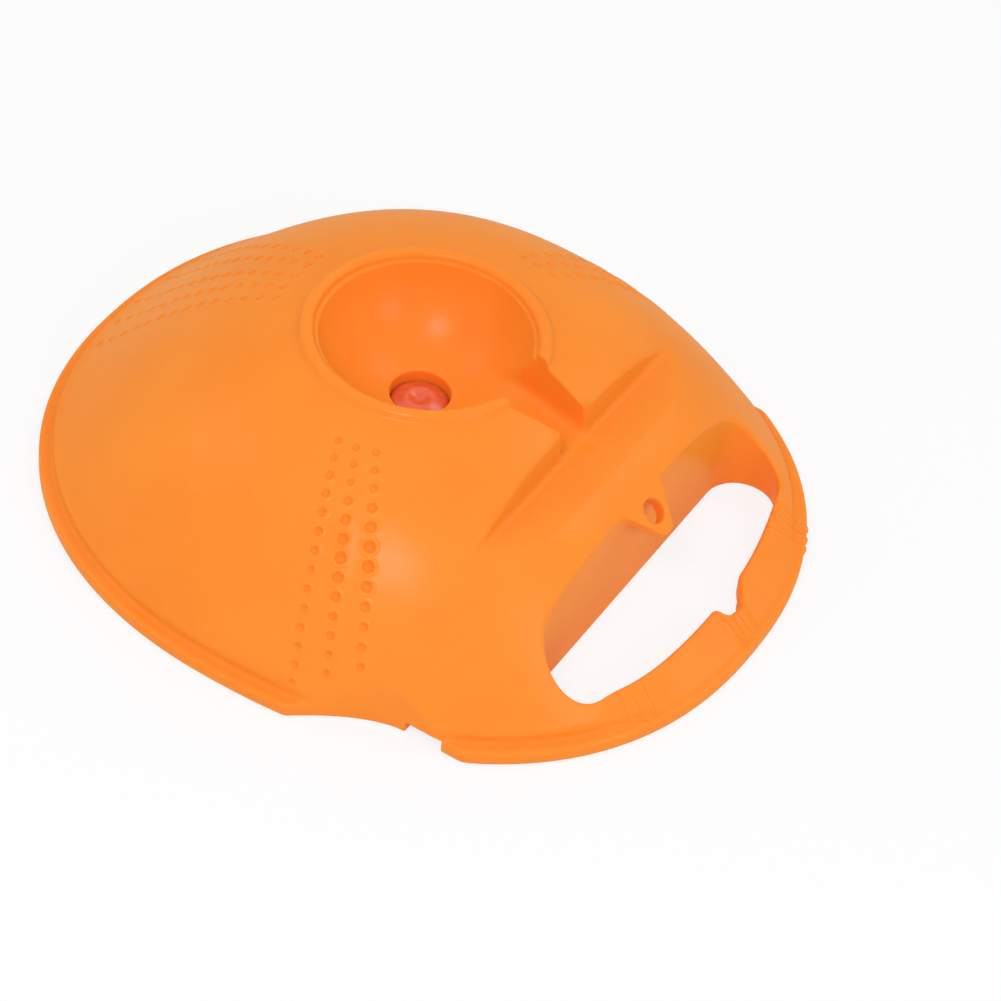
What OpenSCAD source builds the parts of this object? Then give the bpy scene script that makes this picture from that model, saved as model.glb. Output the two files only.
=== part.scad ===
// Floor base of a rebound-ball trainer. A hollow moulded tank carries a ball bowl, a cord
// channel, a cord tie tab and a carry handle; a soft plug closes its fill hole. The tank is one
// moulding, drawn as five regions that meet face to face: shell, floor, bowl, handle and tab.
// The origin is on the ground at the middle of the footprint, +X points to the handle.

/* [Footprint] */
// Reach of the outline behind the bowl centre
rear_reach = 128; // [122:0.5:140]
// Reach of the outline in front of the bowl centre
front_reach = 136.8; // [134:0.2:146]
// Half of the widest width
half_width = 118.4; // [112:0.2:130]
// Squareness of the rear half of the outline, where 2 is an ellipse
rear_square = 2.17; // [2:0.01:2.4]
// Squareness of the front half of the outline
front_square = 2.29; // [2.1:0.01:2.5]
// Thickness of the ground flange
flange_thick = 5.5; // [4:0.1:7]
// Width of the ground flange
flange_width = 5; // [3.5:0.1:7]
// Rounding of the flange edges
flange_round = 1.4; // [0.8:0.1:1.8]

/* [Dome] */
// Overall height, to the crest of the bowl lip
height = 70; // [68:0.5:76]
// Drop from the lip crest to the virtual top of the dome
crown_drop = 0.7; // [0.4:0.1:1.2]
// Height of the dome foot, where it meets the flange
foot_z = 9.5; // [8:0.1:11]
// Fullness of the dome towards its sides
side_power = 3.3; // [3:0.05:3.6]
// Fullness of the dome towards its two ends
end_power = 2.85; // [2.6:0.05:3.1]
// Wall thickness of the moulding
wall = 2.5; // [1.8:0.1:3]
// Wall thickness behind the hand slot
front_wall = 3.5; // [3:0.1:4.5]

/* [Bowl] */
// Radius of the spherical bowl
bowl_r = 37.2; // [36.6:0.1:38]
// Height of the bottom of the bowl
bowl_floor_z = 39; // [38:0.5:41]
// Radius of the lip crest
lip_r = 39.9; // [39.5:0.1:41]
// Half width of the rounded lip
lip_half = 2.6; // [2:0.1:3]
// Height of the ledge inside the lip
ledge_z = 67.2; // [66.5:0.1:68]

/* [Cord channel and trench] */
// Width of the channel where it meets the trench
channel_w = 15.8; // [12:0.2:20]
// Extra half width of the channel where it leaves the bowl
channel_flare = 5.4; // [3:0.2:6]
// Height of the channel and trench floor
trench_z = 50; // [48:0.5:52]
// Length of the flat trench floor, from its wall to the crease
trench_len = 16.5; // [14:0.5:17]
// Length of the ramp, from the crease to the hand slot
ramp_len = 10.7; // [9:0.1:12]
// Height of the ramp where it meets the hand slot
ramp_z = 45.2; // [43:0.2:47]

/* [Hand slot and handle] */
// Width of the handle bow at its middle
handle_w = 17.8; // [16:0.2:20]
// Width of the slot at its middle
slot_w = 32.2; // [30:0.2:35]
// Half length of the slot
slot_half = 67.5; // [60:0.5:70]
// Radius of the slot ends
slot_end_r = 12.2; // [9:0.2:14]
// Rise of the handle top from the flange to the slot
handle_lift = 5.12; // [4:0.04:6]
// Width of the cord notch in the handle
notch_w = 14; // [12:0.5:16]
// Depth of the cord notch in the handle
notch_depth = 5.2; // [4:0.2:6]
// Distance from the middle of the handle to the middle of the notch
notch_y = 7.5; // [6:0.5:9]

/* [Tie tab] */
// Length of the tab from the slot wall to its tip
tab_len = 14.4; // [13:0.2:17]
// Width of the tab at its root
tab_w = 24.6; // [22:0.2:28]
// Thickness of the tab
tab_thick = 5; // [4:0.1:6]
// Downward tilt of the tab
tab_tilt = 39; // [34:1:44]
// Radius of the tab tip
tab_tip_r = 3.6; // [3:0.1:4.4]
// Radius of the tie hole
tie_r = 4.4; // [4:0.1:4.8]
// Distance from the slot wall to the tie hole, along the tab
tie_x = 6.8; // [6.4:0.1:7.4]
// Depth of the relief in the slot wall that keeps the tie hole clear
tie_relief = 1.4; // [1:0.1:2]

/* [Waist cut-outs] */
// Length of each cut-out, back from the line of the slot wall
waist_len = 60.5; // [54:0.5:66]
// Half width left between the two cut-outs at their front corners
waist_half = 99.3; // [97:0.1:101]
// Extra depth of each cut-out at its rear corner
waist_sweep = 18.2; // [14:0.2:20]
// Share of the cut-out that the sweep takes
sweep_share = 0.57; // [0.5:0.01:0.65]
// Depth of the low pocket under each cut-out
pocket_depth = 5; // [3:0.5:6]
// Length of the low pocket
pocket_len = 13.5; // [8:0.5:15]
// Height of the low pocket
pocket_h = 4.7; // [4:0.1:6]

/* [Fill hole and plug] */
// Radius of the round well that seats the plug
well_r = 10.5; // [9.5:0.1:11.5]
// Height of the well floor
well_z = 34.5; // [33:0.1:35.5]
// Radius of the fill hole
fill_r = 7; // [6:0.1:7.8]
// Running clearance around the plug shank
plug_clear = 0.08; // [0.04:0.01:0.1]
// Gap between the plug head and the well wall
head_gap = 0.35; // [0.2:0.05:0.6]
// Thickness of the plug head
head_thick = 2.6; // [2:0.1:3.2]
// Height of the dome on the plug head
head_dome = 1.6; // [1:0.1:2.2]
// Length of the plug shank below the well floor
shank_len = 9; // [6:0.5:12]
// Wall of the hollow shank
shank_wall = 1.8; // [1.4:0.1:2.4]

/* [Underside] */
// Depth of the recessed bottom panel
panel_depth = 1.5; // [1:0.1:2]
// Width of the foot ring around the bottom panel
foot_ring = 14; // [11:0.5:18]

/* [Hidden] */
sectors = 72;
round_fn = 96;
cut = 1;
far = 200;
bowl_x = (rear_reach - front_reach) / 2;
crown_z = height - crown_drop;
side_ease = 0.92;
end_ease = 1.3;
lip_z = height - lip_half;
lip_in = lip_r - lip_half;
lip_out = lip_r + lip_half;
sphere_z = bowl_floor_z + bowl_r;
neck_z = ledge_z - 2.4 * wall;
floor_top = panel_depth + wall;
rim_inset = flange_width + 2 * wall;
slot_front_x = front_reach - handle_w;
slot_rear_x = slot_front_x - slot_w;
crease_x = slot_rear_x - ramp_len;
trench_x = crease_x - trench_len;
waist_front_x = slot_rear_x;
waist_rear_x = waist_front_x - waist_len;
handle_x = slot_rear_x + slot_end_r;
shoulder_power = 5;
shoulder_share = 2;
flange_rise = 0.2;
sweep_x = mix(waist_rear_x, waist_front_x, sweep_share);
pocket_lead = 1.2;
pocket_x = sweep_x + pocket_lead;
sweep_power = 1.6;
side_grow = 1.2;
panel_draw = 12;
channel_start = bowl_r * 0.58;
dome_steps = [1, 0.985, 0.96, 0.93, 0.89, 0.84, 0.78, 0.71, 0.63, 0.54, 0.45, 0.36, 0.28];
cavity_steps = [1, 0.95, 0.87, 0.75, 0.6, 0.45, 0.3];
orange = [0.99, 0.55, 0.2];
red = [0.85, 0.2, 0.12, 0.85];

function mix(a, b, share) = a + (b - a) * share;
function square_at(t) = cos(t) < 0 ? rear_square : front_square;
function reach_at(t) = cos(t) < 0 ? rear_reach : front_reach;

// Distance from the bowl centre to the outline, drawn in by an inset, at angle t
function outline(t, inset) =
    1 / pow(pow(abs(cos(t)) / (reach_at(t) - inset), square_at(t))
            + pow(abs(sin(t)) / (half_width - inset), square_at(t)), 1 / square_at(t));

// How much of the end fullness counts at angle t
function end_share(t) = pow(abs(cos(t)), cos(t) < 0 ? 2 : 2.8);

// Height of the dome at a share f of the way from the bowl centre to the dome foot
function dome_z(f, t) =
    foot_z + (crown_z - foot_z)
    * pow(max(0, 1 - pow(f, mix(side_power, end_power, end_share(t)))),
          mix(side_ease, end_ease, end_share(t)));

// Height of the handle top, which rises from the flange and joins the dome at the slot ends
function handle_z(f, t) =
    let (r = outline(t, flange_width), slope = handle_lift / (handle_w - flange_width),
         beside = pow(abs(f * r * sin(t)) / slot_half, shoulder_power))
    mix(flange_thick, foot_z, min(1, beside))
    + (1 - f) * r * (slope + shoulder_share * beside);

function skin_z(f, t) =
    f * outline(t, flange_width) * cos(t) > (slot_rear_x + slot_front_x) / 2
    ? min(dome_z(f, t), handle_z(f, t)) : dome_z(f, t);

function rim_ring(inset, z) =
    [for (k = [0:sectors - 1]) let (t = k * 360 / sectors, r = outline(t, inset))
        [r * cos(t), r * sin(t), z]];
function dome_ring(f, drop, inset) =
    [for (k = [0:sectors - 1]) let (t = k * 360 / sectors, r = f * outline(t, inset))
        [r * cos(t), r * sin(t), skin_z(f, t) - drop]];

function arc(cx, cy, r, from, to, steps) =
    [for (k = [0:steps]) let (a = mix(from, to, k / steps)) [cx + r * cos(a), cy + r * sin(a)]];

// Skin through a stack of rings, closed by a flat bottom and a point on top
module loft(rings, top_z) {
    last = len(rings) - 1;
    points = concat([for (ring = rings) each ring], [[0, 0, top_z]]);
    bottom = [[for (k = [0:sectors - 1]) k]];
    sides = [for (i = [0:last - 1]) for (k = [0:sectors - 1])
        let (a = i * sectors + k, b = i * sectors + (k + 1) % sectors)
        each [[a, a + sectors, b + sectors], [a, b + sectors, b]]];
    top = [for (k = [0:sectors - 1])
        [last * sectors + k, len(points) - 1, last * sectors + (k + 1) % sectors]];
    polyhedron(points, concat(bottom, sides, top), convexity = 6);
}

// Flange and dome, without any recess
module outer_form() {
    edge = flange_round;
    loft(concat(
        [rim_ring(edge / 2, 0), rim_ring(0, edge / 2), rim_ring(0, flange_thick - edge),
         rim_ring(edge * 0.3, flange_thick - edge * 0.3), rim_ring(edge, flange_thick),
         rim_ring(flange_width * 0.8, flange_thick + flange_rise)],
        [for (f = dome_steps) dome_ring(f, 0, flange_width)]), crown_z);
}

// Room that the ball bowl takes up in the shell
module bowl_room() {
    translate([0, 0, neck_z]) cylinder(r = lip_out, h = far, $fn = round_fn);
    translate([0, 0, sphere_z]) sphere(r = bowl_r + wall, $fn = round_fn);
}

function channel_half(x) =
    channel_w / 2 + channel_flare * pow(max(0, (trench_x - x) / (trench_x - lip_in)), 3);

// Cord channel; grow thickens each recess into the wall that surrounds it
module channel_form(grow) {
    steps = 8;
    runs = [for (k = [0:steps]) mix(lip_in - cut, trench_x + cut, k / steps)];
    near = [for (x = runs) [x, -channel_half(x) - grow]];
    far_side = [for (k = [steps:-1:0]) [runs[k], channel_half(runs[k]) + grow]];
    mouth = channel_w / 2 + channel_flare;
    translate([0, 0, trench_z - grow]) linear_extrude(height = far)
        polygon(concat([[channel_start - grow, -mouth - grow]], near, far_side,
                       [[channel_start - grow, mouth + grow]]));
}

// Flat trench floor and the ramp that runs down to the hand slot
module trench_form(grow) {
    run = 20;
    fall = run * tan(tab_tilt);
    translate([0, half_width, 0]) rotate([90, 0, 0]) linear_extrude(height = 2 * half_width)
        polygon([[trench_x - grow, far], [trench_x - grow, trench_z - grow],
                 [crease_x, trench_z - grow], [slot_rear_x, ramp_z - grow],
                 [slot_rear_x + run, ramp_z - grow - fall], [far, ramp_z - grow - fall],
                 [far, far]]);
}

// Hand slot: straight rear wall, round ends, a front arc tangent to both ends, and a round
// notch in the middle of that arc
module slot_form() {
    end_x = slot_rear_x + slot_end_r;
    end_y = slot_half - slot_end_r;
    reach = slot_front_x - slot_end_r;
    arc_x = (reach + end_x - end_y * end_y / (reach - end_x)) / 2;
    tangent = atan2(end_y, end_x - arc_x);
    arc_r = slot_front_x - arc_x;
    end_r = slot_end_r;
    notch_r = notch_w / 2;
    notch_x = slot_front_x + notch_depth - notch_w / 2;
    meet = acos((slot_front_x - notch_x) / notch_r);
    notch_a = asin(notch_r * sin(meet) / arc_r);
    notch_t = asin(notch_y / arc_r);
    translate([0, 0, -cut]) linear_extrude(height = far)
        polygon(concat(arc(end_x, end_y, end_r, 180, tangent, 8),
                       arc(arc_x, 0, arc_r, tangent, notch_t + notch_a, 10),
                       arc(notch_x, notch_y, notch_r, meet * 0.9, -meet * 0.9, 8),
                       arc(arc_x, 0, arc_r, notch_t - notch_a, -tangent, 10),
                       arc(end_x, -end_y, end_r, -tangent, -180, 8)));
}

// Cut-out in the flange and dome foot on one side, with its low pocket
module waist_form(grow) {
    steps = 6;
    side = -waist_half + grow * side_grow;
    curve = [for (k = [0:steps]) let (share = k / steps)
        [mix(waist_rear_x, sweep_x, share), side - waist_sweep * pow(1 - share, sweep_power)]];
    translate([0, 0, -cut]) linear_extrude(height = far)
        polygon(concat([[waist_rear_x, -far]], curve,
                       [[waist_front_x, side], [waist_front_x, -far]]));
    translate([pocket_x - grow, -far, -cut])
        cube([pocket_len + 2 * grow, far - waist_half + pocket_depth + grow,
              pocket_h + grow + cut]);
}

// The two waist cut-outs
module both_waists(grow) {
    waist_form(grow);
    mirror([0, 1, 0]) waist_form(grow);
}

// Space for water or sand: the dome drawn in by the wall, clear of every recess
module tank_space() {
    difference() {
        loft(concat([rim_ring(rim_inset, -cut), rim_ring(rim_inset, floor_top)],
                    [for (f = cavity_steps) dome_ring(f, wall * 1.4, rim_inset)]),
             crown_z - wall);
        channel_form(wall);
        trench_form(wall);
        both_waists(wall);
        translate([slot_rear_x - front_wall, -far, -far]) cube([far, 2 * far, 2 * far]);
    }
}

// How far the sunk panel draws in beside the waist cut-outs, at angle t
function waist_inset(t) = cos(t) > 0 ? panel_draw * pow(sin(2 * t), 2) : 0;

// Flat floor of the tank, sunk a little inside the ring that it stands on
module tank_floor() {
    panel_x = slot_rear_x - foot_ring / 2;
    color(orange) translate([bowl_x, 0, 0]) difference() {
        linear_extrude(height = floor_top)
            polygon([for (p = rim_ring(rim_inset, 0))
                [min(p[0], slot_rear_x - front_wall), p[1]]]);
        both_waists(wall);
        translate([0, 0, -cut]) linear_extrude(height = panel_depth + cut)
            polygon([for (k = [0:sectors - 1])
                let (t = k * 360 / sectors, r = outline(t, foot_ring + waist_inset(t)))
                [min(r * cos(t), panel_x), r * sin(t)]]);
    }
}

// Moulded dome with its flange, cord channel, trench, ramp and waist cut-outs
module tank_shell() {
    relief_half = tie_r + 0.6;
    relief_z = ramp_z - tab_thick / cos(tab_tilt);
    color(orange) translate([bowl_x, 0, 0]) difference() {
        difference() {
            outer_form();
            channel_form(0);
            trench_form(0);
            both_waists(0);
            slot_form();
        }
        tank_space();
        bowl_room();
        translate([handle_x, -far, -far]) cube([far, 2 * far, 2 * far]);
        translate([slot_rear_x - tie_relief, -relief_half, relief_z])
            cube([far, 2 * relief_half, tab_thick]);
    }
}

// Cup that the ball rests in, with its rounded lip, the plug well and the fill hole
module ball_bowl() {
    out_r = bowl_r + wall;
    well_out = well_r + wall;
    from = asin(-sqrt(out_r * out_r - well_out * well_out) / out_r);
    to = asin((neck_z - sphere_z) / out_r);
    color(orange) translate([bowl_x, 0, 0]) difference() {
        rotate_extrude($fn = round_fn)
            polygon(concat([[0, well_z - wall], [well_out, well_z - wall]],
                           arc(0, sphere_z, out_r, from, to, 8), [[lip_out, neck_z]],
                           arc(lip_r, lip_z, lip_half, 0, 180, 10), [[0, lip_z]]));
        translate([0, 0, sphere_z]) sphere(r = bowl_r, $fn = round_fn);
        translate([0, 0, ledge_z]) cylinder(r = lip_in, h = far, $fn = round_fn);
        translate([0, 0, well_z])
            cylinder(r = well_r, h = sphere_z - well_z - bowl_r / 2, $fn = round_fn);
        translate([0, 0, well_z - wall - cut])
            cylinder(r = fill_r, h = wall + 2 * cut, $fn = round_fn);
        channel_form(0);
    }
}

// Bow of the carry handle, in front of the widest part of the hand slot
module carry_handle() {
    color(orange) translate([bowl_x, 0, 0]) difference() {
        outer_form();
        trench_form(0);
        slot_form();
        translate([handle_x - 2 * far, -far, -far]) cube([2 * far, 2 * far, 2 * far]);
    }
}

// Cord tie tab that carries on the ramp over the hand slot
module tie_tab() {
    tip_x = tab_len - tab_tip_r;
    lean = atan2(tab_w / 2 - tab_tip_r, tip_x);
    color(orange) translate([bowl_x, 0, 0]) difference() {
        translate([slot_rear_x, 0, ramp_z]) rotate([0, tab_tilt, 0])
            translate([0, 0, -tab_thick]) difference() {
                linear_extrude(height = tab_thick)
                    polygon(concat([[-tab_thick, tab_w / 2], [-tab_thick, -tab_w / 2],
                                    [0, -tab_w / 2]],
                                   arc(tip_x, 0, tab_tip_r, lean - 90, 90 - lean, 10),
                                   [[0, tab_w / 2]]));
                translate([tie_x, 0, -cut])
                    cylinder(r = tie_r, h = tab_thick + 2 * cut, $fn = 64);
            }
        translate([slot_rear_x - far, -far, -far]) cube([far, 2 * far, 2 * far]);
    }
}

// Soft push-in stopper: domed head on a hollow shank
module filler_plug() {
    head_r = well_r - head_gap;
    shank_r = fill_r - plug_clear;
    color(red) translate([bowl_x, 0, well_z]) rotate_extrude($fn = round_fn)
        polygon([[0, -shank_wall], [shank_r - shank_wall, -shank_wall],
                 [shank_r - shank_wall, -shank_len], [shank_r - 0.8, -shank_len],
                 [shank_r, -shank_len + 1.6], [shank_r, 0], [head_r, 0],
                 [head_r, head_thick - 0.8], [head_r - 0.8, head_thick],
                 [head_r * 0.62, head_thick + head_dome * 0.5],
                 [head_r * 0.45, head_thick + head_dome], [head_r * 0.3, head_thick + head_dome],
                 [head_r * 0.18, head_thick + head_dome * 0.4],
                 [0, head_thick + head_dome * 0.3]]);
}

tank_shell();
tank_floor();
ball_bowl();
carry_handle();
tie_tab();
filler_plug();
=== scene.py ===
import math

import bmesh
import bpy
import numpy as np
from mathutils import Matrix, Vector


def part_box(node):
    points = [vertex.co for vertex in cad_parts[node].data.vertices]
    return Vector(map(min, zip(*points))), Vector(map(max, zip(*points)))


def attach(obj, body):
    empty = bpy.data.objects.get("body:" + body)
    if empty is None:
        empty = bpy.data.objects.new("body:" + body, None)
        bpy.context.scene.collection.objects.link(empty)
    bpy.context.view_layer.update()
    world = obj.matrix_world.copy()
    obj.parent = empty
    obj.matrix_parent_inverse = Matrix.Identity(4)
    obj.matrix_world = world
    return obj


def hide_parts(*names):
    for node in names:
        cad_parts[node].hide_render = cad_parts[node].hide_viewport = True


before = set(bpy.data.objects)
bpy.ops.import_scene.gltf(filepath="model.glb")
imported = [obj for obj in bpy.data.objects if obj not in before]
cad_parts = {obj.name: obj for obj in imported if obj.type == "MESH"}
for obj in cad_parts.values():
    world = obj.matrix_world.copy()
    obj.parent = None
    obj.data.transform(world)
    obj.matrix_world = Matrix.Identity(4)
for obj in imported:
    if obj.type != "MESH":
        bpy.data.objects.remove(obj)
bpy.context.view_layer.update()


# ---------------------------------------------------------------- driving sizes, in millimetres
MM = 0.001


def node_box(name):
    """Lowest and highest corner of a CAD node, in millimetres."""
    return np.array([list(corner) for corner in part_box(name)]) / MM


SHELL_BOX, BOWL_BOX = node_box("tank_shell"), node_box("ball_bowl")
HANDLE_BOX, TAB_BOX = node_box("carry_handle"), node_box("tie_tab")
PLUG_BOX = node_box("filler_plug")

BOWL_X = PLUG_BOX[:, 0].mean()          # the bowl axis, which the plug shares
REAR = BOWL_X - SHELL_BOX[0, 0]         # reach of the outline behind the bowl
FRONT = HANDLE_BOX[1, 0] - BOWL_X       # reach of the outline over the handle
HALF = SHELL_BOX[1, 1]                  # half of the widest width
HEIGHT = BOWL_BOX[1, 2]                 # the crest of the lip
SQUARE_REAR, SQUARE_FRONT = 2.17, 2.29  # squareness of the outline

# dome and the flange on the ground
FLANGE_T, FLANGE_W, FLANGE_R = 5.5, 5.0, 1.4
FOOT_Z, CROWN_Z = 9.5, HEIGHT - 0.7     # the dome at the flange and at its crown
POWER_SIDE, POWER_END = 3.3, 2.85       # fullness of its section
EASE_SIDE, EASE_END = 0.92, 1.3         # above 1 the crown is rounder
END_REAR, END_FRONT = 2.0, 2.8          # how narrow the ends are beside the sides
MARGIN = 0.12                           # keeps the skin inside the CAD box

# bowl, its lip, and the well and fill hole of the plug
BALL_R, BALL_FLOOR = 37.2, 39.0
LIP_HALF, LEDGE_Z = 2.6, 67.2
LIP_R = BOWL_BOX[1, 1] - LIP_HALF
LIP_IN, LIP_Z = LIP_R - LIP_HALF, HEIGHT - LIP_HALF - MARGIN
WELL_R, WELL_Z, FILL_R = 10.5, 34.5, 7.0
WELL_RISE = 9                           # reach of the well over the lowest point of the cup
FILL_LOW, FILL_OVERLAP = 24, 2          # the fill hole's lower end, and its reach into the well
ROOM_R, ROOM_Z, ROOM_HALF = 30, 17, 13  # hollow below the fill hole

# hand slot, handle, ramp and trench
SLOT_REAR = TAB_BOX[0, 0] - BOWL_X      # the wall that carries the tie tab
RAMP_Z = TAB_BOX[1, 2]                  # where the ramp meets that wall
SLOT_END = HANDLE_BOX[0, 0] - BOWL_X - SLOT_REAR
HANDLE_W, SLOT_HALF = 17.8, 67.5
HANDLE_RISE, SHOULDER_RISE = 0.4, 2     # slope of the handle, and what its shoulders add
SHOULDER_POWER = 5                      # how late the handle swells into its shoulders
SLOT_FRONT = FRONT - HANDLE_W
LIFT_GAP, LIFT_RUN, LIFT_Z = 10, 8, 200  # takes the handle's surface away behind the slot
CREASE_X, TRENCH_X, TRENCH_Z = SLOT_REAR - 10.7, SLOT_REAR - 27.2, 50.0
WALL_LEAN, CUT_FLOOR = 0.1, 29.0
CHANNEL_HALF, CHANNEL_FLARE, FLARE_POWER = 7.3, 5.0, 1.15
CHANNEL_START, CHANNEL_OVERLAP, CHANNEL_ROUND = 0.58 * BALL_R, 6, 5.0
NOTCH = [(-11, 4.2), (2.2, 5.4), (2.6, 8), (-0.3, 13.4), (-2.1, 15.1), (-11, 17)]
NOTCH_R = 3.0                           # the notch is this much wider than NOTCH all round

# tie tab and its hole
TAB_LEN, TAB_HALF, TAB_T, TAB_TIP = 16.4, 12.6, 5.0, 4.6
TAB_ROOT = 30                           # reach of the tab into the slot wall
TAB_TILT = math.radians(39)
TIE_R, TIE_X, TIE_RELIEF = 4.3, 7.1, 1.4

# waist cut-outs with their pockets, and the underside
WAIST_LEN, WAIST_HALF, WAIST_SWEEP, SWEEP_LEN = 60.5, 99.3, 18.2, 34.5
SWEEP_POWER = 1.6                       # how the cut-out's edge curves in towards the middle
POCKET_DEPTH, POCKET_LEN, POCKET_H, POCKET_GAP = 5.0, 13.5, 4.7, 1.2
PANEL_DEPTH, FOOT_RING, RING_CORNER = 1.5, 14.0, 12

# roundings: the length over which two forms blend
HANDLE_BLEND, DOME_BLEND = 3.0, 1.0
FLANGE_BLEND, LIP_BLEND, LEDGE_BLEND = 1.8, 1.8, 0.4
WELL_BLEND, WELL_TOP_BLEND = 0.6, 0.5
RAMP_BLEND, TAB_CREASE_BLEND, TRENCH_BLEND = 0.8, 2.0, 2.4
NOTCH_BLEND, TAB_EDGE_BLEND, TAB_BLEND, TIE_BLEND = 3.0, 1.6, 2.0, 1.0
SCOOP_BLEND, POCKET_BLEND, WAIST_BLEND = 2.0, 0.8, 1.3
SLOT_BLEND, BOW_BLEND = 1.8, 0.8        # the slot's edge, and what the bow adds
BOW_FROM, BOW_TO = 100, 114
CHANNEL_BLEND = 1.6                     # channel into trench
BOWL_BLEND, BOWL_BLEND_DROP = 7.0, 5.4  # bowl into channel, and what it loses at the lip
LIP_FROM, LIP_TO = 52, 62
CUT_BLEND, CUT_BLEND_PAST, CUT_BLEND_SIDE = 0.9, 0.3, 1.2
PAST_LIP, CUT_SIDE = (34, 42), (30, 60)
RING_BLEND, PANEL_BLEND = 1.0, 0.8

# grip dimples and handle ribs
DIMPLE_R, DIMPLE_DEPTH, DIMPLE_RIM = 1.9, 1.35, 0.26
DIMPLE_SMALL, SWELL_REACH = 0.66, 3     # size of the smallest, and how far the swell goes
RIM_PLACE, RIM_HALF, DIMPLE_BLEND = 1.25, 0.6, 0.5
LINE_STEPS = 240                        # steps in which a row is measured
RIB_HEIGHT, RIB_HALF = 0.6, 0.6
RIB_LOW, RIB_FADE = 1.2, 2              # the ribs start over the ground and fade in

# the mesh
GRID = 1.6                              # spacing of the first, coarse skin
GRID_LOW, GRID_MARGIN = 2.6, 3
# where the skin bends by more than the angle, or lies this near a dimple, it is made finer
BENDS = ((math.radians(6), 3.2), (math.radians(11), 0.0))
BEND_STEP, RIB_SEEN = 0.2, 0.002        # step of that slope, and the least height of a rib
DIMPLES_FROM_Z, UNDERSIDE_Z = 8, 0.3
SKIN_FACES = 185000                     # triangles left on the finished skin


# ---------------------------------------------------------------- smooth solid algebra
def blend_min(a, b, k):
    """The lower of two values, rounded over the length k where they meet."""
    h = np.clip(0.5 + 0.5 * (b - a) / k, 0, 1)
    return b + (a - b) * h - k * h * (1 - h)


def blend_max(a, b, k):
    return -blend_min(-a, -b, k)


def cut_away(solid, tool, k):
    """The solid without the tool, its new edge rounded by k."""
    return blend_max(solid, -tool, k)


def ease_in(value, start, end):
    """0 before start, 1 after end, and smooth between them."""
    share = np.clip((value - start) / (end - start), 0, 1)
    return share * share * (3 - 2 * share)


def outline_share(x, y, inset):
    """1 on the outline drawn in by inset, less inside it."""
    rear = x < 0
    a = np.where(rear, REAR, FRONT) - inset
    n = np.where(rear, SQUARE_REAR, SQUARE_FRONT)
    b = HALF - inset
    return (np.abs(x / a) ** n + np.abs(y / b) ** n + 1e-9) ** (1 / n)


def outline_distance(x, y, inset):
    """Distance outside the outline drawn in by inset, less than 0 inside it."""
    e = 0.05
    share = outline_share(x, y, inset)
    gx = (outline_share(x + e, y, inset) - outline_share(x - e, y, inset)) / (2 * e)
    gy = (outline_share(x, y + e, inset) - outline_share(x, y - e, inset)) / (2 * e)
    return (share - 1) / np.maximum(np.hypot(gx, gy), 1e-3)


def end_share(x, y):
    """1 towards the two ends, 0 towards the sides."""
    r = np.hypot(x, y) + 1e-6
    return (np.abs(x) / r) ** np.where(x < 0, END_REAR, END_FRONT)


def dome_height(x, y):
    """Top of the dome, whose section is rounder at the ends than at the sides."""
    f = outline_share(x, y, FLANGE_W)
    w = end_share(x, y)
    power = POWER_SIDE + (POWER_END - POWER_SIDE) * w
    ease = EASE_SIDE + (EASE_END - EASE_SIDE) * w
    drop = np.clip(1 - np.minimum(f, 1) ** power, 1e-4, 1)
    return FOOT_Z + (CROWN_Z - FOOT_Z) * drop ** ease


def handle_height(x, y):
    """Top of the handle, which swells into the dome beside the slot."""
    f = outline_share(x, y, FLANGE_W)
    r = np.hypot(x, y) / np.maximum(f, 1e-3)
    beside = np.abs(y / SLOT_HALF) ** SHOULDER_POWER
    base = FLANGE_T + (FOOT_Z - FLANGE_T) * np.minimum(1, beside)
    top = base + np.maximum(1 - f, 0) * r * (HANDLE_RISE + SHOULDER_RISE * beside)
    return top + np.clip((SLOT_FRONT - LIFT_GAP - x) / LIFT_RUN, 0, 1) ** 2 * LIFT_Z


def skin_height(x, y):
    """Top of the dome and the handle together."""
    return blend_min(dome_height(x, y), handle_height(x, y), HANDLE_BLEND)


def steep(x, y):
    """Slope of the skin, and its parts along x and y."""
    e = 0.1
    gx = (skin_height(x + e, y) - skin_height(x - e, y)) / (2 * e)
    gy = (skin_height(x, y + e) - skin_height(x, y - e)) / (2 * e)
    return np.minimum(np.hypot(gx, gy), 8), gx, gy


def dome(x, y, z):
    slope, _, _ = steep(x, y)
    over = (z - skin_height(x, y)) / np.sqrt(1 + slope ** 2)
    return blend_max(over, outline_distance(x, y, FLANGE_W), DOME_BLEND)


def flange(x, y, z):
    side = outline_distance(x, y, MARGIN) + FLANGE_R
    rise = np.abs(z - FLANGE_T / 2) - FLANGE_T / 2 + FLANGE_R
    outside = np.hypot(np.maximum(side, 0), np.maximum(rise, 0))
    return outside + np.minimum(np.maximum(side, rise), 0) - FLANGE_R


def lip(x, y, z):
    return np.hypot(np.hypot(x, y) - LIP_R, z - LIP_Z) - LIP_HALF


def ball_bowl(x, y, z):
    """Cup for the ball, with the straight collar and ledge inside the lip."""
    r = np.hypot(x, y)
    sphere = np.sqrt(r ** 2 + (z - BALL_FLOOR - BALL_R) ** 2) - BALL_R
    collar = blend_max(r - LIP_IN, LEDGE_Z - z, LEDGE_BLEND)
    return np.minimum(sphere, collar)


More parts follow.
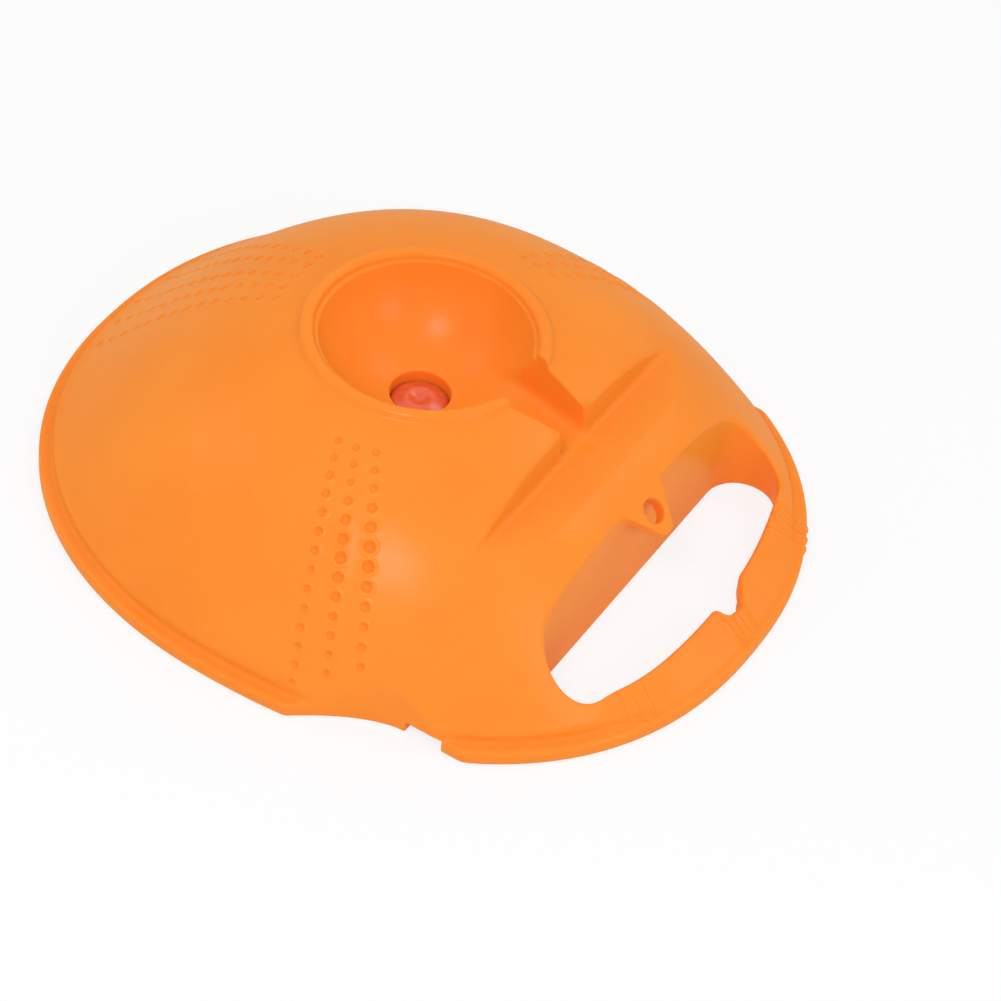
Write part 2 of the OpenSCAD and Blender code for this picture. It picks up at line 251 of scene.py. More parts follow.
def plug_well(x, y, z):
    """Well for the plug's head, the fill hole and the hollow below it."""
    r = np.hypot(x, y)
    well = blend_max(r - WELL_R, WELL_Z - z, WELL_BLEND)
    well = blend_max(well, z - BALL_FLOOR - WELL_RISE, WELL_TOP_BLEND)
    hole = np.maximum(r - FILL_R, np.maximum(FILL_LOW - z, z - WELL_Z - FILL_OVERLAP))
    room = np.sqrt((r / ROOM_R) ** 2 + ((z - ROOM_Z) / ROOM_HALF) ** 2) - 1
    return np.minimum(np.minimum(well, hole), room * ROOM_HALF)


def channel(x, y, z):
    """Cord channel with a round floor, flared where it leaves the bowl."""
    share = np.clip((TRENCH_X - x) / (TRENCH_X - LIP_IN), 0, 1)
    half = CHANNEL_HALF + CHANNEL_FLARE * share ** FLARE_POWER
    ends = np.maximum(CHANNEL_START - x, x - TRENCH_X - CHANNEL_OVERLAP)
    side = np.maximum(np.abs(y) - half, ends)
    return blend_max(side, TRENCH_Z - z, CHANNEL_ROUND)


def ramp_height(x):
    """Floor of the trench: flat, then the ramp, then the tab's top face."""
    fall = (TRENCH_Z - RAMP_Z) / (SLOT_REAR - CREASE_X)
    ramp = TRENCH_Z - (x - CREASE_X) * fall
    steeper = RAMP_Z - (x - SLOT_REAR) * math.tan(TAB_TILT)
    floor = blend_min(TRENCH_Z + 0 * x, ramp, RAMP_BLEND)
    floor = blend_min(floor, steeper, TAB_CREASE_BLEND)
    return np.maximum(floor, CUT_FLOOR)


def trench(x, y, z):
    """Flat floor, ramp and the soft leaning wall behind them."""
    e = 0.1
    wall = TRENCH_X - WALL_LEAN * (z - TRENCH_Z) - x
    slope = (ramp_height(x - e) - ramp_height(x + e)) / (2 * e)
    floor = (ramp_height(x) - z) / np.sqrt(1 + slope ** 2)
    return blend_max(wall, floor, TRENCH_BLEND)


def polygon_distance(x, y, points):
    """Signed distance to a closed polygon, less than 0 inside."""
    nearest = np.full(np.broadcast(x, y).shape, 1e9)
    inside = np.zeros(nearest.shape, bool)
    for (ax, ay), (bx, by) in zip(points, points[1:] + points[:1]):
        ex, ey = bx - ax, by - ay
        t = np.clip(((x - ax) * ex + (y - ay) * ey) / (ex * ex + ey * ey), 0, 1)
        nearest = np.minimum(nearest, np.hypot(x - ax - t * ex, y - ay - t * ey))
        if ay != by:
            crosses = (ay > y) != (by > y)
            inside ^= crosses & (x < ax + (y - ay) * ex / ey)
    return np.where(inside, -nearest, nearest)


def slot_plan(x, y):
    """Hand slot from above: round ends, a bowed front side and the cord notch."""
    end_x, end_y = SLOT_REAR + SLOT_END, SLOT_HALF - SLOT_END
    reach = SLOT_FRONT - SLOT_END
    arc_x = (reach + end_x - end_y ** 2 / (reach - end_x)) / 2
    bend = math.atan2(end_y, end_x - arc_x)
    beyond = (np.abs(y) > end_y) & (np.arctan2(np.abs(y), x - arc_x) > bend)
    core = np.maximum(end_x - x, np.hypot(x - arc_x, y) - (reach - arc_x))
    slot = np.where(beyond, np.hypot(x - end_x, np.abs(y) - end_y), core) - SLOT_END
    notch = polygon_distance(x - SLOT_FRONT, y, NOTCH) - NOTCH_R
    return blend_min(slot, notch, NOTCH_BLEND)


def along_tab(x, z):
    """Distance down the tab from the slot wall, and height over its top face."""
    c, s = math.cos(TAB_TILT), math.sin(TAB_TILT)
    run, rise = x - SLOT_REAR, z - RAMP_Z
    return run * c - rise * s, run * s + rise * c


def tie_tab(x, y, z):
    """Tapered tab with a round tip; the trench floor cuts its top face."""
    u, over = along_tab(x, z)
    tip = TAB_LEN - TAB_TIP
    root = TAB_HALF - TAB_TIP / math.cos(math.atan2(TAB_HALF - TAB_TIP, tip))
    outline = [(-TAB_ROOT, -root), (0, -root), (tip, 0), (0, root), (-TAB_ROOT, root)]
    plan = polygon_distance(u, np.abs(y), outline) - TAB_TIP
    return blend_max(plan, -over - TAB_T, TAB_EDGE_BLEND)


def tie_hole(x, y, z):
    """Round hole through the tab, with a small relief in the slot wall."""
    u, over = along_tab(x, z)
    hole = np.maximum(np.hypot(u - TIE_X, y) - TIE_R, np.abs(over + TAB_T / 2) - TAB_T)
    return np.maximum(hole, SLOT_REAR - TIE_RELIEF - x)


def waist(x, y, z):
    """Scooped cut-out in the flange on each side, with its low pocket."""
    rear_x = SLOT_REAR - WAIST_LEN
    left = 1 - np.clip((x - rear_x) / SWEEP_LEN, 0, 1)
    edge = WAIST_HALF + WAIST_SWEEP * left ** SWEEP_POWER
    lean = SWEEP_POWER * WAIST_SWEEP / SWEEP_LEN * left ** (SWEEP_POWER - 1)
    side = (edge - np.abs(y)) / np.sqrt(1 + lean ** 2)
    ends = np.maximum(rear_x - x, x - SLOT_REAR)
    scoop = blend_max(side, ends, SCOOP_BLEND) + 0 * z
    start = rear_x + SWEEP_LEN + POCKET_GAP
    pocket = np.maximum(start - x, x - start - POCKET_LEN)
    depth = np.maximum(WAIST_HALF - POCKET_DEPTH - np.abs(y), z - POCKET_H)
    return blend_min(scoop, np.maximum(pocket, depth), POCKET_BLEND)


def bottom_panel(x, y, z):
    """Sunk panel of the underside, which leaves the ring that the base stands on."""
    corner = (np.maximum(x, 0) * np.abs(y) * 2 / (x ** 2 + y ** 2 + 1)) ** 2
    ring = outline_distance(x, y, FOOT_RING) + RING_CORNER * corner
    plan = np.maximum(ring, x - SLOT_REAR + FOOT_RING / 2)
    return blend_max(plan, z - PANEL_DEPTH, RING_BLEND)


def moulding(x, y, z):
    """Distance to the skin of the whole moulding, less than 0 inside the plastic."""
    body = blend_min(dome(x, y, z), flange(x, y, z), FLANGE_BLEND)
    body = np.maximum(body, -z)
    body = blend_min(body, lip(x, y, z), LIP_BLEND)
    body = cut_away(body, waist(x, y, z), WAIST_BLEND)
    edge = SLOT_BLEND + BOW_BLEND * ease_in(x, BOW_FROM, BOW_TO)
    body = cut_away(body, slot_plan(x, y) + 0 * z, edge)
    body = blend_min(body, tie_tab(x, y, z), TAB_BLEND)
    sunk = blend_min(channel(x, y, z), trench(x, y, z), CHANNEL_BLEND)
    edge = BOWL_BLEND - BOWL_BLEND_DROP * ease_in(z, LIP_FROM, LIP_TO)
    sunk = blend_min(sunk, ball_bowl(x, y, z), edge)
    past_lip = CUT_BLEND_PAST + CUT_BLEND_SIDE * ease_in(np.abs(y), *CUT_SIDE)
    body = cut_away(body, sunk, CUT_BLEND + ease_in(x, *PAST_LIP) * past_lip)
    body = cut_away(body, plug_well(x, y, z), WELL_BLEND)
    body = cut_away(body, tie_hole(x, y, z), TIE_BLEND)
    return cut_away(body, bottom_panel(x, y, z), PANEL_BLEND)


# ---------------------------------------------------------------- grip dimples and handle ribs
def spaced(start, end, count, swell=0.1, middle=6.0):
    """Places and sizes at even steps along the dome, over the line from start to end."""
    share = np.linspace(0, 1, LINE_STEPS)
    x = start[0] + share * (end[0] - start[0])
    y = start[1] + share * (end[1] - start[1])
    step = np.sqrt(np.diff(x) ** 2 + np.diff(y) ** 2 + np.diff(skin_height(x, y)) ** 2)
    run = np.concatenate([[0], np.cumsum(step)])
    even = np.interp(np.linspace(0, run[-1], count), run, share)
    size = DIMPLE_SMALL + swell * np.exp(-((np.arange(count) - middle) / SWELL_REACH) ** 2)
    return np.stack([start[0] + even * (end[0] - start[0]),
                     start[1] + even * (end[1] - start[1]), size], 1)


# start and end from the bowl axis, number of dimples, swell of the middle ones, and the middle
SIDE_ROWS = [((2.7, 56.5), (25.6, 111.6), 14, 0.12, 4),
             ((9.1, 55.7), (35.2, 106.7), 13, 0.36, 6),
             ((15.8, 54.0), (44.6, 101.4), 12, 0.44, 5.5)]
REAR_ROWS = [((-53.1, 15.1), (-116.0, 34.4)), ((-54.0, 9.1), (-118.0, 20.5)),
             ((-54.5, 2.0), (-119.5, 4.4)), ((-54.0, -4.8), (-118.4, -9.5)),
             ((-52.7, -11.1), (-116.4, -22.5))]
REAR_COUNT = 14


def dimple_rows():
    """Three fanning rows on each side and five behind the bowl."""
    rows = [spaced(*row) for row in SIDE_ROWS]
    rows += [row * [1, -1, 1] for row in rows]
    rows += [spaced(start, end, REAR_COUNT) for start, end in REAR_ROWS]
    return np.concatenate(rows)


DIMPLES = dimple_rows()


def dimple_spheres():
    """Place on the skin, centre and radius of the ball that presses each dimple."""
    x, y, size = DIMPLES.T
    _, gx, gy = steep(x, y)
    normal = np.stack([-gx, -gy, np.ones_like(gx)], 1)
    normal /= np.linalg.norm(normal, axis=1)[:, None]
    rim, depth = DIMPLE_R * size, DIMPLE_DEPTH * size
    ball = (rim ** 2 + depth ** 2) / (2 * depth)
    spot = np.stack([x, y, skin_height(x, y)], 1)
    return spot, spot + normal * (ball - depth)[:, None], ball


DIMPLE_SPOTS, DIMPLE_CENTRES, DIMPLE_BALLS = dimple_spheres()

# both ends of each rib, beside the notch and at both shoulders of the handle
RIBS = [((122.7, 11.4), (136.6, 4.3)), ((125.4, 4.9), (137.4, 0.8)),
        ((126.5, 1.7), (137.2, -2.9)), ((124.8, -0.9), (136.9, -5.2))]
SIDE_RIBS = [((115.9, 43.7), (129.2, 49.4)), ((114.7, 49.6), (127.6, 53.4)),
             ((113.8, 54.4), (125.6, 58.0))]
RIBS += [((ax, side * ay), (bx, side * by))
         for side in (-1, 1) for (ax, ay), (bx, by) in SIDE_RIBS]


def rib_swell(x, y, z):
    """Height of the handle's ribs over its skin."""
    swell = 0 * x
    for (ax, ay), (bx, by) in RIBS:
        ex, ey = bx - ax, by - ay
        t = np.clip(((x - ax) * ex + (y - ay) * ey) / (ex * ex + ey * ey), 0, 1)
        gap = np.hypot(x - ax - t * ex, y - ay - t * ey)
        swell = np.maximum(swell, RIB_HEIGHT * np.exp(-(gap / RIB_HALF) ** 2))
    inside = ease_in(FRONT - x, MARGIN, 2 * RIB_HEIGHT)
    return swell * inside * np.clip((z - RIB_LOW) / RIB_FADE, 0, 1)


def detailed(points, nearest):
    """Distance to the skin with its ribs and, at each point, its nearest dimple."""
    x, y, z = points.T
    solid = moulding(x, y, z) - rib_swell(x, y, z)
    away = np.linalg.norm(points - DIMPLE_SPOTS[nearest], axis=1)
    size = DIMPLES[nearest, 2]
    from_rim = (away / size - DIMPLE_R * RIM_PLACE) / RIM_HALF
    solid = solid - size * DIMPLE_RIM * np.exp(-from_rim ** 2)
    cup = np.linalg.norm(points - DIMPLE_CENTRES[nearest], axis=1) - DIMPLE_BALLS[nearest]
    return cut_away(solid, cup, DIMPLE_BLEND)


def nearest_dimple(points):
    """Number of the dimple nearest to each point."""
    best = np.full(len(points), 1e9)
    index = np.zeros(len(points), int)
    for k, spot in enumerate(DIMPLE_SPOTS):
        gap = ((points - spot) ** 2).sum(1)
        closer = gap < best
        best[closer] = gap[closer]
        index[closer] = k
    return index


def slope_of(points, nearest, e=0.04):
    """Slope of the field, which points out of the skin."""
    out = np.zeros_like(points)
    for axis in range(3):
        step = np.zeros(3)
        step[axis] = e
        out[:, axis] = detailed(points + step, nearest) - detailed(points - step, nearest)
    return out / (2 * e)


def settle(points, rounds, reach):
    """Moves points along the slope of the field until they lie on the skin."""
    nearest = nearest_dimple(points)
    for _ in range(rounds):
        gap = detailed(points, nearest)
        slope = slope_of(points, nearest)
        size = np.maximum((slope ** 2).sum(1), 0.05)
        move = -gap[:, None] * slope / size[:, None]
        length = np.linalg.norm(move, axis=1)
        points = points + move * np.minimum(1, reach / np.maximum(length, 1e-9))[:, None]
    return points


# ---------------------------------------------------------------- skin of the moulding
def coarse_skin():
    """Net of quads around the zero level of the field on a regular grid."""
    lo = np.array([-REAR - GRID_MARGIN, -HALF - GRID_MARGIN, -GRID_LOW])
    hi = np.array([FRONT, HALF, HEIGHT]) + GRID_MARGIN
    count = np.ceil((hi - lo) / GRID).astype(int) + 1
    xs, ys, zs = [lo[i] + GRID * np.arange(count[i]) for i in range(3)]
    field = moulding(xs[:, None, None], ys[None, :, None], zs[None, None, :])
    inside = field < 0
    cells = tuple(count - 1)
    total, hits = np.zeros(cells + (3,)), np.zeros(cells)
    corner = [(i, j, k) for i in (0, 1) for j in (0, 1) for k in (0, 1)]

    def at(grid, c):
        return grid[c[0]:c[0] + cells[0], c[1]:c[1] + cells[1], c[2]:c[2] + cells[2]]

    # a cell's point is the mean of the places where the skin crosses the cell's edges
    for a in corner:
        for axis in range(3):
            if a[axis]:
                continue
            b = tuple(a[i] + (i == axis) for i in range(3))
            fa, fb = at(field, a), at(field, b)
            cross = (fa < 0) != (fb < 0)
            share = np.where(cross, fa / np.where(cross, fa - fb, 1), 0)
            for i in range(3):
                place = a[i] + share * (i == axis)
                total[..., i] += np.where(cross, place, 0)
            hits += cross
    used = hits > 0
    number = np.full(cells, -1)
    number[used] = np.arange(used.sum())
    base = np.argwhere(used)
    points = lo + GRID * (base + total[used] / hits[used][:, None])
    # each grid edge that the skin crosses joins the points of the four cells around it
    quads = []
    for axis in range(3):
        one, two = [(1, 2), (2, 0), (0, 1)][axis]
        first = [slice(None)] * 3
        second = [slice(None)] * 3
        first[axis], second[axis] = slice(0, -1), slice(1, None)
        change = inside[tuple(first)] != inside[tuple(second)]
        spots = np.argwhere(change)
        ok = (spots[:, one] > 0) & (spots[:, two] > 0)
        ok &= (spots[:, one] < cells[one]) & (spots[:, two] < cells[two])
        spots = spots[ok]
        solid_first = inside[tuple(spots.T)]
        around = []
        for da, db in ((-1, -1), (0, -1), (0, 0), (-1, 0)):
            cell = spots.copy()
            cell[:, one] += da
            cell[:, two] += db
            around.append(number[tuple(cell.T)])
        face = np.stack(around, 1)
        face[~solid_first] = face[~solid_first][:, ::-1]
        quads.append(face)
    return points, np.concatenate(quads)


def to_mesh(name, points, faces):
    mesh = bpy.data.meshes.new(name)
    mesh.from_pydata(points.tolist(), [], faces.tolist())
    mesh.update()
    return mesh


def refine(mesh, chosen):
    """Splits the edges of the chosen faces in two."""
    bm = bmesh.new()
    bm.from_mesh(mesh)
    bm.faces.ensure_lookup_table()
    edges = {e for i in chosen for e in bm.faces[i].edges}
    bmesh.ops.subdivide_edges(bm, edges=list(edges), cuts=1, use_grid_fill=True)
    bm.to_mesh(mesh)
    bm.free()


def mesh_points(mesh):
    flat = np.empty(len(mesh.vertices) * 3)
    mesh.vertices.foreach_get("co", flat)
    return flat.reshape(-1, 3)


def busy_faces(mesh, bend, near):
    """Faces where the skin turns, or where a dimple or a rib lies."""
    points = mesh_points(mesh)
    nearest = nearest_dimple(points)
    normal = slope_of(points, nearest, BEND_STEP)
    normal /= np.linalg.norm(normal, axis=1)[:, None]
    skin_gap = np.linalg.norm(points[:, :2] - DIMPLES[nearest][:, :2], axis=1)
    rib = rib_swell(*points.T) > RIB_SEEN
    close = (skin_gap < near) & (points[:, 2] > DIMPLES_FROM_Z)
    chosen = []
    for face in mesh.polygons:
        ids = list(face.vertices)
        turn = normal[ids] @ normal[ids].mean(0)
        if close[ids].any() or rib[ids].any() or turn.min() < math.cos(bend):
            if points[ids, 2].max() > UNDERSIDE_Z:
                chosen.append(face.index)
    return chosen


def flatten_underside(mesh):
    """Joins the small faces of the flat underside."""
    bm = bmesh.new()
    bm.from_mesh(mesh)
    slack, level = 0.02, 0.9999
    low = [v for v in bm.verts if v.co.z < PANEL_DEPTH + slack]
    flat = [v for v in low if all(abs(f.normal.z) > level for f in v.link_faces)]
    kept = set(flat)
    edges = [e for e in bm.edges if e.verts[0] in kept and e.verts[1] in kept]
    bmesh.ops.dissolve_limit(bm, angle_limit=0.01, verts=flat, edges=edges)
    bmesh.ops.triangulate(bm, faces=[f for f in bm.faces if len(f.verts) > 4])
    bm.to_mesh(mesh)
    bm.free()


def thin_out(mesh, limit):
    """Collapses edges where the skin is flat, down to a number of triangles."""
    draft = bpy.data.objects.new("draft", mesh)
    bpy.context.scene.collection.objects.link(draft)
    count = sum(len(face.vertices) - 2 for face in mesh.polygons)
    collapse = draft.modifiers.new("collapse", "DECIMATE")
    collapse.ratio = min(1.0, limit / count)
    graph = bpy.context.evaluated_depsgraph_get()
    thin = bpy.data.meshes.new_from_object(draft.evaluated_get(graph))
    bpy.data.objects.remove(draft)
    bpy.data.meshes.remove(mesh)
    return thin


def finish_mesh(mesh, name):
    """Object in metres, in its place, shaded by the slope of the field."""
    points = mesh_points(mesh)
    nearest = nearest_dimple(points)
    normal = slope_of(points, nearest)
    normal /= np.linalg.norm(normal, axis=1)[:, None]
    points[:, 2] = np.maximum(points[:, 2], 0)
    placed = (points + [BOWL_X, 0, 0]) * MM
    mesh.vertices.foreach_set("co", placed.ravel())
    mesh.update()
    for face in mesh.polygons:
        face.use_smooth = True
    mesh.normals_split_custom_set_from_vertices(normal.tolist())
    piece = bpy.data.objects.new(name, mesh)
    bpy.context.scene.collection.objects.link(piece)
    return piece


def make_tank():
    """The whole moulding as one skin, finer where it bends."""
    points, quads = coarse_skin()
    points = settle(points, rounds=4, reach=GRID * 0.5)
    mesh = to_mesh("tank_skin", points, quads)
    for bend, near in BENDS:
        refine(mesh, busy_faces(mesh, bend, near))
        points = settle(mesh_points(mesh), rounds=3, reach=GRID * 0.4)
        mesh.vertices.foreach_set("co", points.ravel())
        mesh.update()
    flatten_underside(mesh)
    return finish_mesh(thin_out(mesh, SKIN_FACES), "moulded_tank")


# ---------------------------------------------------------------- plug
PLUG_GAP, PLUG_STEPS = 0.12, 64         # gap round the shank, and steps of the turned profile


def make_plug():
    """Soft stopper turned from a smooth profile, seated on the floor of the well."""
    head_r = (PLUG_BOX[1, 0] - PLUG_BOX[0, 0]) / 2
    low, high = PLUG_BOX[0, 2], PLUG_BOX[1, 2]
    seat, rise = WELL_Z, high - WELL_Z
    shank = FILL_R - PLUG_GAP
    profile = [(0.0, seat - 1.8), (4.2, seat - 1.8), (5.1, seat - 2.6), (5.1, low + 0.6),
               (5.5, low + 0.1), (6.0, low + 0.1), (6.5, low + 0.8), (shank, low + 1.9),
               (shank, seat - 0.5), (7.4, seat + 0.04), (head_r - 0.6, seat + 0.04),
               (head_r - 0.1, seat + 0.5), (head_r - 0.05, seat + rise * 0.36),
               (head_r - 0.7, seat + rise * 0.56), (head_r * 0.80, seat + rise * 0.66),
               (head_r * 0.62, seat + rise * 0.82), (head_r * 0.50, seat + rise * 0.98),
               (head_r * 0.38, seat + rise * 0.985), (head_r * 0.28, seat + rise * 0.84),
               (head_r * 0.17, seat + rise * 0.72), (0.0, seat + rise * 0.70)]
    steps = PLUG_STEPS
    bm = bmesh.new()
    rings = []
    for r, z in profile:
        if r == 0:
            rings.append([bm.verts.new((BOWL_X * MM, 0, z * MM))])
            continue
        ring = []
        for k in range(steps):
            a = 2 * math.pi * k / steps
            place = ((BOWL_X + r * math.cos(a)) * MM, r * math.sin(a) * MM, z * MM)
            ring.append(bm.verts.new(place))
        rings.append(ring)
    for a, b in zip(rings, rings[1:]):
        for k in range(steps):
            n = (k + 1) % steps
            if len(a) == 1:
                bm.faces.new((a[0], b[n], b[k]))
            elif len(b) == 1:
                bm.faces.new((a[k], a[n], b[0]))
            else:
                bm.faces.new((a[k], a[n], b[n], b[k]))
    bmesh.ops.recalc_face_normals(bm, faces=bm.faces)
    mesh = bpy.data.meshes.new("plug")
    bm.to_mesh(mesh)
    bm.free()
    for face in mesh.polygons:
        face.use_smooth = True
    piece = bpy.data.objects.new("soft_plug", mesh)
    bpy.context.scene.collection.objects.link(piece)
    smooth = piece.modifiers.new("smooth", "SUBSURF")
    smooth.levels = smooth.render_levels = 1
    return piece


# ---------------------------------------------------------------- materials
def new_material(name):
    material = bpy.data.materials.new(name)
    material.use_nodes = True
    tree = material.node_tree
    shader = next(n for n in tree.nodes if n.type == "BSDF_PRINCIPLED")
    return material, tree, shader


def add(tree, kind, **values):
    node = tree.nodes.new(kind)
    for key, value in values.items():
        setattr(node, key, value)
    return node


def noise(tree, where, scale, detail, rough=0.5):
    node = add(tree, "ShaderNodeTexNoise")
    node.inputs["Scale"].default_value = scale
    node.inputs["Detail"].default_value = detail
    node.inputs["Roughness"].default_value = rough
    tree.links.new(where.outputs["Object"], node.inputs["Vector"])
    return node


def colour_ramp(tree, source, stops):
    node = add(tree, "ShaderNodeValToRGB")
    elements = node.color_ramp.elements
    while len(elements) < len(stops):
        elements.new(0.5)
    for element, (place, colour) in zip(elements, stops):
        element.position = place
        element.color = colour
    tree.links.new(source, node.inputs["Fac"])
    return node


def orange_plastic():
    material, tree, shader = new_material("moulded_orange")
    where = add(tree, "ShaderNodeTexCoord")
    cloud = noise(tree, where, 22, 4)
    tone = colour_ramp(tree, cloud.outputs["Fac"],
                       [(0.3, (0.90, 0.247, 0.024, 1)), (0.7, (0.95, 0.272, 0.028, 1))])
    tree.links.new(tone.outputs["Color"], shader.inputs["Base Color"])
    patch = noise(tree, where, 60, 3)
    gloss = add(tree, "ShaderNodeMapRange")
    gloss.inputs["To Min"].default_value = 0.30
    gloss.inputs["To Max"].default_value = 0.42
    tree.links.new(patch.outputs["Fac"], gloss.inputs["Value"])
    tree.links.new(gloss.outputs["Result"], shader.inputs["Roughness"])
    pebble = noise(tree, where, 1100, 3, 0.6)
    wave = noise(tree, where, 150, 2)
    fine = add(tree, "ShaderNodeBump")
    fine.inputs["Strength"].default_value = 0.22
    fine.inputs["Distance"].default_value = 0.0002
    broad = add(tree, "ShaderNodeBump")
    broad.inputs["Strength"].default_value = 0.08
    broad.inputs["Distance"].default_value = 0.0006
    tree.links.new(wave.outputs["Fac"], broad.inputs["Height"])
    tree.links.new(pebble.outputs["Fac"], fine.inputs["Height"])
    tree.links.new(broad.outputs["Normal"], fine.inputs["Normal"])
    tree.links.new(fine.outputs["Normal"], shader.inputs["Normal"])
    shader.inputs["IOR"].default_value = 1.5
    shader.inputs["Specular IOR Level"].default_value = 0.0
    shader.inputs["Coat Weight"].default_value = 0.26
    shader.inputs["Coat Roughness"].default_value = 0.27
    shader.inputs["Coat IOR"].default_value = 1.5
    tree.links.new(fine.outputs["Normal"], shader.inputs["Coat Normal"])
    shader.inputs["Subsurface Weight"].default_value = 0.35
    shader.inputs["Subsurface Radius"].default_value = (1.0, 0.35, 0.1)
    shader.inputs["Subsurface Scale"].default_value = 0.004
    return material


def red_soft_plastic():
    material, tree, shader = new_material("clear_red")
    where = add(tree, "ShaderNodeTexCoord")
    cloud = noise(tree, where, 240, 3)
    tone = colour_ramp(tree, cloud.outputs["Fac"],
                       [(0.3, (0.80, 0.115, 0.038, 1)), (0.7, (0.90, 0.16, 0.05, 1))])
    tree.links.new(tone.outputs["Color"], shader.inputs["Base Color"])
    wave = noise(tree, where, 320, 2)
    bump = add(tree, "ShaderNodeBump")
    bump.inputs["Strength"].default_value = 0.25
    bump.inputs["Distance"].default_value = 0.0004
    tree.links.new(wave.outputs["Fac"], bump.inputs["Height"])
    tree.links.new(bump.outputs["Normal"], shader.inputs["Normal"])
    shader.inputs["Roughness"].default_value = 0.24
    shader.inputs["IOR"].default_value = 1.48
    shader.inputs["Transmission Weight"].default_value = 0.15
    shader.inputs["Coat Weight"].default_value = 0.2
    shader.inputs["Coat Roughness"].default_value = 0.08
    return material


def floor_white():
    """Pale floor that shows nearly white to the camera and keeps the shadow."""
    material, tree, shader = new_material("pale_floor")
    where = add(tree, "ShaderNodeTexCoord")
    cloud = noise(tree, where, 3, 2)
    tone = colour_ramp(tree, cloud.outputs["Fac"],
                       [(0.2, (0.86, 0.86, 0.86, 1)), (0.8, (0.88, 0.88, 0.88, 1))])
    tree.links.new(tone.outputs["Color"], shader.inputs["Base Color"])
    shader.inputs["Roughness"].default_value = 0.7
    glow = add(tree, "ShaderNodeEmission")
    glow.inputs["Strength"].default_value = 1.0
    mix = add(tree, "ShaderNodeMixShader")
    seen = seen_by_camera(tree)
    share = add(tree, "ShaderNodeMath", operation="MULTIPLY")
    share.inputs[1].default_value = 0.8
    tree.links.new(seen, share.inputs[0])
    tree.links.new(share.outputs["Value"], mix.inputs["Fac"])
    tree.links.new(shader.outputs["BSDF"], mix.inputs[1])
    tree.links.new(glow.outputs["Emission"], mix.inputs[2])
    output = next(n for n in tree.nodes if n.type == "OUTPUT_MATERIAL")
    tree.links.new(mix.outputs["Shader"], output.inputs["Surface"])
    return material


def seen_by_camera(tree):
    """1 for camera, glossy and transmission rays."""
    path = add(tree, "ShaderNodeLightPath")
    total = add(tree, "ShaderNodeMath", operation="ADD")
    tree.links.new(path.outputs["Is Camera Ray"], total.inputs[0])
    tree.links.new(path.outputs["Is Glossy Ray"], total.inputs[1])
    both = add(tree, "ShaderNodeMath", operation="ADD", use_clamp=True)
    tree.links.new(total.outputs["Value"], both.inputs[0])
    tree.links.new(path.outputs["Is Transmission Ray"], both.inputs[1])
    return both.outputs["Value"]


# ---------------------------------------------------------------- stage, light and camera
def make_stage():
    half, parts = 3.0, 8
    bm = bmesh.new()
    bmesh.ops.create_grid(bm, x_segments=parts, y_segments=parts, size=half)
    mesh = bpy.data.meshes.new("floor")
    bm.to_mesh(mesh)
    bm.free()
    floor = bpy.data.objects.new("floor", mesh)
    bpy.context.scene.collection.objects.link(floor)
    floor.data.materials.append(floor_white())


def make_world():
    world = bpy.data.worlds.new("studio")
    bpy.context.scene.world = world
    world.use_nodes = True
    tree = world.node_tree
    sky = next(n for n in tree.nodes if n.type == "BACKGROUND")
    sky.inputs["Color"].default_value = (1, 1, 1, 1)
    level = add(tree, "ShaderNodeMapRange")
    level.inputs["To Min"].default_value = 0.62
    level.inputs["To Max"].default_value = 1.0
    tree.links.new(seen_by_camera(tree), level.inputs["Value"])
    tree.links.new(level.outputs["Result"], sky.inputs["Strength"])


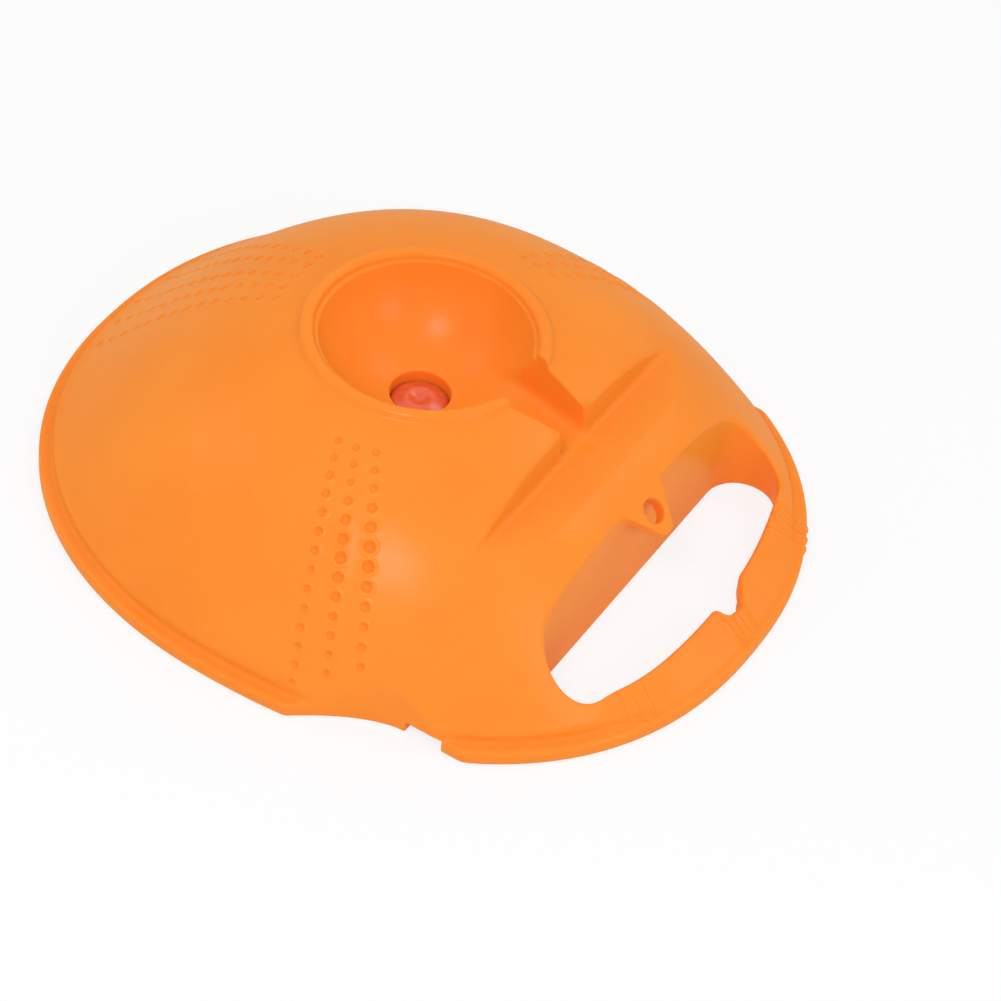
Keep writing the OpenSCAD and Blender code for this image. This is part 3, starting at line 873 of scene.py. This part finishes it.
def area_light(name, place, target, size, power):
    data = bpy.data.lights.new(name, "AREA")
    data.shape = "DISK"
    data.size = size
    data.energy = power
    lamp = bpy.data.objects.new(name, data)
    bpy.context.scene.collection.objects.link(lamp)
    lamp.location = place
    aim = Vector(target) - Vector(place)
    lamp.rotation_euler = aim.to_track_quat("-Z", "Y").to_euler()


def make_lights():
    middle = (0, 0, 0.03)
    area_light("key", (0.13, -0.74, 1.06), middle, 0.4, 5.4)
    area_light("front", (1.15, -0.25, 0.75), middle, 0.5, 2.6)
    area_light("back", (0.4, 0.8, 1.1), middle, 0.6, 1.6)
    area_light("side", (-0.9, -0.3, 0.8), middle, 0.6, 1.0)


# fitted to the photograph by the outline's mirror symmetry: degrees, and millimetres
CAMERA_ANGLES = (26.86, 45.13, 7.41)    # azimuth, elevation and roll
CAMERA_DISTANCE, CAMERA_LENS, CAMERA_SENSOR = 1285.6, 134.47, 36.0
AIM_X, AIM_Y = 30.75, 9.04              # where it looks, from the bowl axis


def make_camera():
    azimuth, elevation, roll = [math.radians(v) for v in CAMERA_ANGLES]
    aim = np.array([BOWL_X + AIM_X, AIM_Y, 0.0])
    back = np.array([math.sin(azimuth) * math.cos(elevation),
                     -math.cos(azimuth) * math.cos(elevation), math.sin(elevation)])
    right = np.array([math.cos(azimuth), math.sin(azimuth), 0.0])
    up = np.cross(back, right)
    c, s = math.cos(roll), math.sin(roll)
    right, up = c * right + s * up, c * up - s * right
    place = (aim + back * CAMERA_DISTANCE) * MM
    data = bpy.data.cameras.new("camera")
    data.sensor_width = CAMERA_SENSOR
    data.lens = CAMERA_LENS
    data.clip_start = 0.05
    camera = bpy.data.objects.new("camera", data)
    bpy.context.scene.collection.objects.link(camera)
    turn = Matrix([[right[i], up[i], back[i]] for i in range(3)])
    camera.matrix_world = Matrix.Translation(place) @ turn.to_4x4()
    bpy.context.scene.camera = camera


# ---------------------------------------------------------------- the object
def make_object():
    tank = make_tank()
    tank.data.materials.append(orange_plastic())
    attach(tank, "tank")
    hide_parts("tank_shell", "tank_floor", "ball_bowl", "carry_handle", "tie_tab")
    plug = make_plug()
    plug.data.materials.append(red_soft_plastic())
    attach(plug, "plug")
    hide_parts("filler_plug")


make_camera()
make_object()
make_stage()
make_world()
make_lights()
bpy.context.scene.view_settings.view_transform = "Standard"
